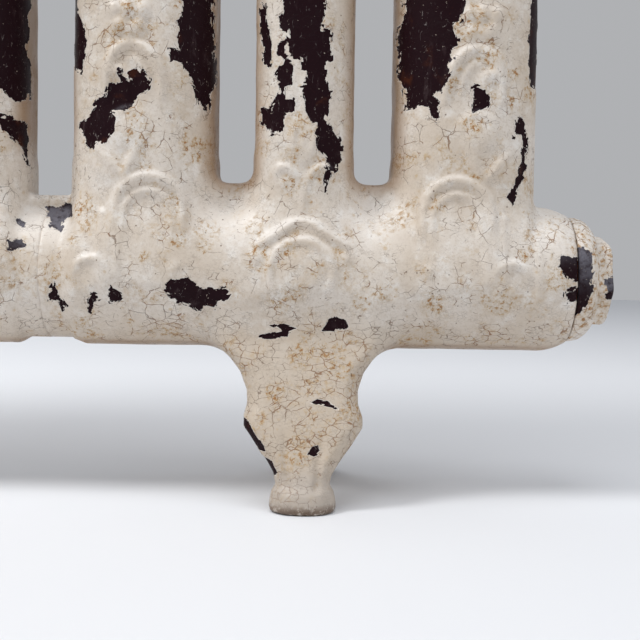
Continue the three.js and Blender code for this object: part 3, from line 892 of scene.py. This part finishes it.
class Value:
    """A node's output. Sums, differences and products of values make math nodes."""

    def __init__(self, nodes, socket):
        self.nodes = nodes
        self.socket = socket

    def __add__(self, other):
        return self.nodes.math("ADD", self, other)

    def __sub__(self, other):
        return self.nodes.math("SUBTRACT", self, other)

    def __rsub__(self, other):
        return self.nodes.math("SUBTRACT", other, self)

    def __mul__(self, other):
        return self.nodes.math("MULTIPLY", self, other)


class Nodes:
    """Short names for building a material's node tree, with sizes in millimetres."""

    def __init__(self, name):
        self.material = bpy.data.materials.new(name)
        self.material.use_nodes = True
        self.tree = self.material.node_tree
        self.shader = self.tree.nodes["Principled BSDF"]

    def add(self, kind, **settings):
        node = self.tree.nodes.new(kind)
        for key, value in settings.items():
            setattr(node, key, value)
        return node

    def set(self, socket, value):
        """A constant goes on the socket, and a value is linked to it."""
        if isinstance(value, Value):
            self.tree.links.new(value.socket, socket)
        else:
            socket.default_value = value

    def finished(self, **inputs):
        """The material, with the shader's inputs set; a _ stands for a space."""
        for name, value in inputs.items():
            self.set(self.shader.inputs[name.replace("_", " ")], value)
        return self.material

    def out(self, socket):
        return Value(self, socket)

    def math(self, operation, a, b):
        node = self.add("ShaderNodeMath", operation=operation)
        self.set(node.inputs[0], a)
        self.set(node.inputs[1], b)
        return self.out(node.outputs[0])

    def ramp(self, value, low, high, to_low=0.0, to_high=1.0):
        """value mapped smoothly from low..high to to_low..to_high."""
        node = self.add("ShaderNodeMapRange", interpolation_type="SMOOTHSTEP")
        for socket, v in zip(node.inputs, (value, low, high, to_low, to_high)):
            self.set(socket, v)
        return self.out(node.outputs[0])

    def mix(self, factor, a, b):
        """Colour a where the factor is 0, and b where it is 1."""
        node = self.add("ShaderNodeMix", data_type="RGBA")
        self.set(node.inputs["Factor"], factor)
        self.set(node.inputs[6], a)
        self.set(node.inputs[7], b)
        return self.out(node.outputs[2])

    def number_mix(self, factor, a, b):
        node = self.add("ShaderNodeMix", data_type="FLOAT")
        self.set(node.inputs[0], factor)
        self.set(node.inputs[2], a)
        self.set(node.inputs[3], b)
        return self.out(node.outputs[0])

    def over(self, colour, mask, amount, tone):
        """The colour with a tone laid over it where the mask is, as strongly as amount."""
        return self.mix(mask * amount, colour, tone)

    def attribute(self, name):
        return self.out(self.add("ShaderNodeAttribute", attribute_name=name).outputs["Fac"])

    def place(self, scale=(1, 1, 1)):
        """Object coordinates in millimetres, stretched by scale."""
        node = self.add("ShaderNodeVectorMath", operation="MULTIPLY")
        self.set(node.inputs[0], self.out(self.add("ShaderNodeTexCoord").outputs["Object"]))
        node.inputs[1].default_value = tuple(s / MM for s in scale)
        return self.out(node.outputs[0])

    def texture(self, kind, vector, size, **settings):
        node = self.add(kind, **settings)
        self.set(node.inputs["Vector"], vector)
        node.inputs["Scale"].default_value = 1 / size
        return node

    def warp(self, vector, size, amount):
        """The coordinates moved about by noise."""
        noise = self.texture("ShaderNodeTexNoise", vector, size)
        noise.inputs["Detail"].default_value = 2
        shift = self.add("ShaderNodeVectorMath", operation="MULTIPLY_ADD")
        self.set(shift.inputs[0], self.out(noise.outputs["Color"]))
        shift.inputs[1].default_value = (2 * amount,) * 3
        shift.inputs[2].default_value = (-amount,) * 3
        total = self.add("ShaderNodeVectorMath", operation="ADD")
        self.set(total.inputs[0], vector)
        self.set(total.inputs[1], self.out(shift.outputs[0]))
        return self.out(total.outputs[0])

    def noise(self, vector, size, detail=4.0, roughness=0.55):
        node = self.texture("ShaderNodeTexNoise", vector, size)
        node.inputs["Detail"].default_value = detail
        node.inputs["Roughness"].default_value = roughness
        return self.out(node.outputs["Fac"])

    def cells(self, vector, size, distance="EUCLIDEAN"):
        """Cells: the distance from the nearest one's middle, and its random number."""
        node = self.texture("ShaderNodeTexVoronoi", vector, size, distance=distance)
        split = self.add("ShaderNodeSeparateColor")
        self.set(split.inputs[0], self.out(node.outputs["Color"]))
        return self.out(node.outputs["Distance"]), self.out(split.outputs[0])

    def seams(self, vector, size):
        """The distance to the nearest line between cells of about that size."""
        node = self.texture("ShaderNodeTexVoronoi", vector, size, feature="DISTANCE_TO_EDGE")
        return self.out(node.outputs["Distance"])

    def height_of(self, vector):
        split = self.add("ShaderNodeSeparateXYZ")
        self.set(split.inputs[0], vector)
        return self.out(split.outputs[2])

    def bump(self, height, strength=1.0):
        """Heights in millimetres as a normal."""
        node = self.add("ShaderNodeBump")
        node.inputs["Strength"].default_value = strength
        node.inputs["Distance"].default_value = MM
        self.set(node.inputs["Height"], height)
        return self.out(node.outputs[0])


CREAM = (0.70, 0.635, 0.565, 1)
CREAM_WARM = (0.62, 0.535, 0.445, 1)
CREAM_PALE = (0.79, 0.755, 0.71, 1)
CREAM_DULL = (0.50, 0.415, 0.325, 1)
# paler cream for a painted top light on upward faces
CREAM_TOP_LIT = (0.84, 0.82, 0.80, 1)
RUST = (0.30, 0.125, 0.03, 1)
RUST_PALE = (0.50, 0.335, 0.14, 1)
CRACK = (0.12, 0.07, 0.04, 1)
TAN = (0.35, 0.22, 0.125, 1)
FOOT_GREY = (0.40, 0.365, 0.34, 1)
METAL = (0.014, 0.0045, 0.0065, 1)
METAL_PALE = (0.045, 0.028, 0.030, 1)
METAL_RUST = (0.055, 0.016, 0.008, 1)
METAL_SCRATCHED = (0.42, 0.38, 0.36, 1)
# dust with a painted blue-grey sheen, on bare iron facing up
METAL_DUST_AND_SHEEN = (0.145, 0.14, 0.165, 1)
IRON_DARK = (0.05, 0.045, 0.042, 1)
IRON_RUSTY = (0.11, 0.06, 0.035, 1)
FIBRE_RED = (0.16, 0.045, 0.025, 1)
FIBRE_WORN = (0.30, 0.12, 0.07, 1)
BRASS_BRIGHT = (0.62, 0.42, 0.16, 1)
BRASS_DULL = (0.20, 0.13, 0.06, 1)


def painted_iron():
    """Crazed and stained cream paint over dark iron, from the numbers at the vertices."""
    n = Nodes("painted_iron")
    at = n.place()
    upright = n.place((1, 1, 0.3))
    hollow = n.attribute("hollow")
    leg = n.attribute("leg")
    upward = n.attribute("upward")
    above_floor = n.height_of(at)

    # bare patches, drawn ones and, away from those, patches from stretched noise: the
    # distance to the nearest edge, less than 0 inside, with steps and teeth added to it
    _, step = n.cells(at, 3.0, "CHEBYCHEV")
    _, tooth = n.cells(at, 1.4, "MANHATTAN")
    patches = n.noise(n.warp(upright, 20, 5), 27, 3, 0.5)
    wild = (0.615 - patches) * 80 + (1 - n.attribute("wild")) * 30
    distance = n.math("MINIMUM", n.attribute("bare"), wild)
    rough = ((step - 0.5) * 1.9 + (tooth - 0.5) * 0.75) * n.ramp(leg, 0, 1, 1, 0.35)
    distance = distance + rough
    paint = n.ramp(distance, -0.06, 0.06)

    # crazing: broken lines of three sizes, closer on the leg and in hollows
    broken = n.noise(at, 4.0, 3, 0.6) - 0.5
    big = n.seams(n.warp(at, 3.5, 1.0), 7.6)
    big_width = n.ramp(n.noise(at, 19, 3) + broken * 0.55, 0.44, 0.66, -0.012, 0.014)
    big_crack = n.ramp(big - big_width, -0.004, 0.009, 1, 0)
    fine = n.seams(n.warp(n.place((0.7, 1, 1.2)), 2.4, 0.8), 3.8)
    fine_where = n.noise(at, 13, 3) + leg * 0.12 + broken * 0.78 + hollow * 0.06
    fine_width = n.ramp(fine_where, 0.46, 0.72, -0.02, 0.026)
    fine_crack = n.ramp(fine - fine_width, -0.010, 0.014, 1, 0)
    cracks = n.math("MAXIMUM", fine_crack, big_crack)
    hair = n.seams(n.warp(n.place((0.8, 1, 1.25)), 1.2, 0.7), 1.7)
    hair_where = n.noise(at, 7, 3) + leg * 0.08
    hair = n.ramp(hair, 0.0, 0.10, 1, 0) * n.ramp(hair_where, 0.48, 0.66)

    # rust stains where the relief is hollow, specks, grime and painted shade beside the slots, and a
    # painted contact shadow with rust along the floor
    stain_noise = n.noise(n.warp(at, 1.6, 1.0), 2.4, 5, 0.74)
    stain_place = n.noise(at, 15, 3) + hollow * 0.15 + leg * 0.03 + n.attribute("rust") * 0.46
    stain = n.ramp(stain_noise, 0.46, 0.60) * n.ramp(stain_place, 0.47, 0.71)
    core = n.ramp(stain_noise, 0.55, 0.625) * n.ramp(stain_place, 0.54, 0.73)
    veins = cracks * n.ramp(stain_place, 0.42, 0.60)
    to_speck, speck_random = n.cells(at, 2.4)
    speck_size = n.ramp(speck_random, 0.84, 1.0, -0.02, 0.17)
    speck = n.ramp(to_speck - speck_size, -0.03, 0.03, 1, 0)
    to_ochre, ochre_random = n.cells(n.warp(at, 2, 0.8), 3.6)
    ochre_size = n.ramp(ochre_random, 0.72, 1.0, -0.05, 0.26)
    ochre = n.ramp(to_ochre - ochre_size, -0.10, 0.10, 1, 0)
    ochre = ochre * n.ramp(n.noise(at, 10, 3), 0.42, 0.62)
    # flank: tan grime and painted shade on the slots' flanks and under the slots
    flank = n.attribute("flank") * n.ramp(n.noise(upright, 8, 5, 0.65), 0.14, 0.48)
    # a painted contact shadow with rust along the floor, broken into patches
    worn = n.ramp(n.noise(at, 2.4, 4, 0.6), 0.36, 0.50)
    base = n.ramp(above_floor, 1.5, 5.5, 1, 0) * worn

    # the paint: uneven cream, then the layers over it, then the pale rim of a patch
    colour = n.mix(n.ramp(n.noise(at, 34, 3), 0.38, 0.64), CREAM, CREAM_WARM)
    colour = n.mix(n.ramp(n.noise(at, 9, 4, 0.65), 0.48, 0.72, 0, 0.75), colour, CREAM_PALE)
    colour = n.mix(n.ramp(n.noise(at, 2.2, 4, 0.7), 0.44, 0.74, 0, 0.50), colour, CREAM_DULL)
    colour = n.mix(n.ramp(n.noise(at, 0.8, 2), 0.50, 0.76, 0, 0.50), colour, CREAM_DULL)
    # among these layers, painted light and shade: top light on upward faces, shade in the relief's
    # hollows and on the leg under the header, and grime with painted shade on the slots' flanks
    for mask, amount, tone in (
            (upward, 0.45, CREAM_TOP_LIT), (n.ramp(hollow, 0.1, 0.9), 0.55, CREAM_DULL),
            (leg, 0.75, CREAM_DULL), (ochre, 0.45, RUST_PALE), (stain, 0.66, RUST_PALE),
            (core, 0.88, RUST), (flank, 0.85, TAN), (hair, 0.28, CRACK), (speck, 0.8, CRACK),
            (cracks, 0.66, CRACK), (veins, 0.50, RUST)):
        colour = n.over(colour, mask, amount, tone)
    colour = n.mix(n.ramp(above_floor, 10, 26, 0.45, 0), colour, FOOT_GREY)
    # painted contact shadow and rust where the foot meets the floor
    colour = n.over(colour, base, 0.85, CRACK)
    colour = n.over(colour, n.ramp(distance, 0.06, 0.36, 1, 0), 0.7, CREAM_PALE)

    # the iron under the paint: pale and rusty areas, scratches, dust and a painted blue-grey sheen on
    # top, paint flecks
    metal = n.mix(n.ramp(n.noise(upright, 5, 6, 0.7), 0.58, 0.76), METAL, METAL_PALE)
    metal = n.mix(n.ramp(n.noise(at, 17, 4), 0.60, 0.74), metal, METAL_RUST)
    scratch = n.ramp(n.seams(n.warp(n.place((1.6, 1.6, 0.5)), 3, 2), 4.6), 0.0, 0.022, 1, 0)
    scratch = scratch * n.ramp(n.noise(at, 3, 3), 0.57, 0.66)
    metal = n.over(metal, scratch, 0.5, METAL_SCRATCHED)
    dust_and_sheen = upward * n.ramp(n.noise(at, 4, 5, 0.7), 0.36, 0.56, 0.3, 1)
    metal = n.mix(dust_and_sheen * n.ramp(leg, 0, 1, 1, 0), metal, METAL_DUST_AND_SHEEN)
    metal = n.over(metal, n.ramp(n.noise(at, 0.9, 2), 0.70, 0.76), 0.7, CREAM_WARM)

    # relief in millimetres: the paint's thickness, its curled edge, lumps and cracks
    height = n.ramp(distance, -0.10, 0.10) * 0.34 + n.ramp(distance, 0.0, 1.6, 1, 0) * 0.10
    height = height + n.noise(at, 3.2, 3) * 0.16 * n.ramp(paint, 0, 1, 0.35, 1)
    height = height - cracks * 0.08 - hair * 0.02 + stain * (n.noise(at, 0.8, 3) * 0.2)
    gloss = n.ramp(n.noise(at, 14, 4), 0.35, 0.7, 0.36, 0.52) + stain * 0.25
    return n.finished(Base_Color=n.mix(paint, metal, colour),
                      Roughness=n.number_mix(paint, 0.45, gloss),
                      Specular_IOR_Level=n.number_mix(paint, 0.06, 0.40),
                      Normal=n.bump(height, 0.9))


def bare_iron():
    """Dark iron with rusty blotches, for the nipples."""
    n = Nodes("bare_iron")
    at = n.place()
    colour = n.mix(n.ramp(n.noise(at, 4, 5, 0.7), 0.4, 0.65), IRON_DARK, IRON_RUSTY)
    roughness = n.ramp(n.noise(at, 2, 4), 0.3, 0.7, 0.45, 0.75)
    grain = n.bump(n.noise(at, 0.9, 4) * 0.12)
    return n.finished(Base_Color=colour, Roughness=roughness, Metallic=0.6, Normal=grain)


def fibre():
    """Red fibre, worn pale in places, for gaskets and washers."""
    n = Nodes("fibre_gasket")
    at = n.place()
    colour = n.mix(n.ramp(n.noise(at, 1.6, 5, 0.7), 0.35, 0.7), FIBRE_RED, FIBRE_WORN)
    grain = n.bump(n.noise(at, 0.5, 3) * 0.08)
    return n.finished(Base_Color=colour, Roughness=0.9, Normal=grain)


def brass():
    """Tarnished brass with specks of the radiator's paint."""
    n = Nodes("brass")
    at = n.place()
    tarnish = n.ramp(n.noise(at, 4, 5, 0.65), 0.42, 0.68)
    colour = n.mix(tarnish, BRASS_BRIGHT, BRASS_DULL)
    colour = n.mix(n.ramp(n.noise(at, 1.3, 4), 0.62, 0.72), colour, CREAM_WARM)
    roughness = n.ramp(n.noise(at, 2.2, 4), 0.3, 0.7, 0.28, 0.55)
    grain = n.bump(n.noise(at, 0.7, 4) * 0.05)
    return n.finished(Base_Color=colour, Roughness=roughness, Metallic=0.85, Normal=grain)


PAINTED = painted_iron()
IRON = bare_iron()
FIBRE = fibre()
BRASS = brass()


# ---- assembly

end_base = casting("end_casting", True, 11)
middle_base = casting("middle_casting", False, 12)
finish_casting("right_casting", "end_section_right", end_base, RIGHT_X, False)
finish_casting("left_casting", "end_section_left", end_base, LEFT_X, True)
finish_casting("middle_casting_painted", "middle_section", middle_base, MIDDLE_X, False)

place_plug("blank_plug", 0, LOWER_AXIS, False, 21)
place_plug("vent_plug", VENT_BORE, UPPER_AXIS, False, 22)
place_plug("return_bushing", PIPE_BORE, LOWER_AXIS, True, 23)
place_plug("supply_bushing", PIPE_BORE, UPPER_AXIS, True, 24)

vent_xs = spaced((-0.5, 36.5, VENT_STEP))
vent_ys = spaced((-12.8, 12.8, VENT_STEP))
place_brass("vent_brass", "vent_body", vent_distance, vent_xs, vent_ys, "radiator")
screw_xs = spaced((12, 42.4, SCREW_STEP))
screw_ys = spaced((-3.9, 3.9, SCREW_STEP))
place_brass("bleed_screw_brass", "bleed_screw", screw_distance, screw_xs, screw_ys, "bleed_screw")

for node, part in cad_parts.items():
    if node.startswith("nipple"):
        finish = IRON
    elif "gasket" in node or node == "vent_washer":
        finish = FIBRE
    else:
        continue
    part.data.materials.clear()
    part.data.materials.append(finish)


# ---- floor, light and camera

FLOOR_COLOUR = (0.78, 0.80, 0.84, 1)
WORLD_COLOUR = (0.60, 0.61, 0.63, 1)
WORLD_STRENGTH = 0.72
KEY_COLOUR = (1.0, 0.99, 0.97)
CAMERA_SENSOR = 36  # millimetres
CAMERA_LENS = 60.4
CAMERA_SIDE = 8.7  # to the right of the right section's middle, millimetres
CAMERA_Y = -0.520  # metres
CAMERA_Z = 0.1069
CAMERA_DOWN = math.radians(2.67)
CAMERA_ROLL = math.radians(0.9)


def plain_stage():
    bpy.ops.mesh.primitive_plane_add(size=8, location=(0, 0, 0))
    floor = bpy.context.object
    floor.name = "floor"
    finish = Nodes("pale_floor").finished(Base_Color=FLOOR_COLOUR, Roughness=0.6)
    floor.data.materials.append(finish)


def area_light(name, place, aim, size, power, colour=(1, 1, 1)):
    """A round lamp at a place in metres, turned towards aim."""
    light = bpy.data.lights.new(name, "AREA")
    light.shape = "DISK"
    light.size = size
    light.energy = power
    light.color = colour
    lamp = new_object(name, light)
    lamp.location = place
    direction = Vector(aim) - Vector(place)
    lamp.rotation_euler = direction.to_track_quat("-Z", "Y").to_euler()


def studio():
    """Soft light: a key from the upper left, weaker lamps from the right, top and back."""
    plain_stage()
    world = bpy.data.worlds.new("studio")
    bpy.context.scene.world = world
    world.use_nodes = True
    background = world.node_tree.nodes["Background"]
    background.inputs["Color"].default_value = WORLD_COLOUR
    background.inputs["Strength"].default_value = WORLD_STRENGTH
    area_light("key", (-1.0, -0.55, 1.6), (0.15, 0, 0.2), 0.6, 20, KEY_COLOUR)
    area_light("side", (1.3, -0.6, 1.2), (0.2, 0, 0.2), 0.9, 4)
    area_light("top", (0.1, -0.4, 1.9), (0, 0, 0.2), 1.2, 12)
    area_light("back", (-1.2, 1.6, 1.4), (0, 0, 0.3), 1.6, 11)


def low_camera():
    """Low and close in front of the right section, a little right of its middle."""
    camera = bpy.data.cameras.new("camera")
    camera.sensor_width = CAMERA_SENSOR
    camera.lens = CAMERA_LENS
    camera.clip_start = 0.02
    eye = new_object("camera", camera)
    tilt = Matrix.Rotation(math.radians(90) - CAMERA_DOWN, 4, "X")
    roll = Matrix.Rotation(CAMERA_ROLL, 4, "Z")
    place = Matrix.Translation(((RIGHT_X + CAMERA_SIDE) * MM, CAMERA_Y, CAMERA_Z))
    eye.matrix_world = place @ tilt @ roll
    bpy.context.scene.camera = eye


studio()
low_camera()
bpy.context.scene.view_settings.view_transform = "Standard"
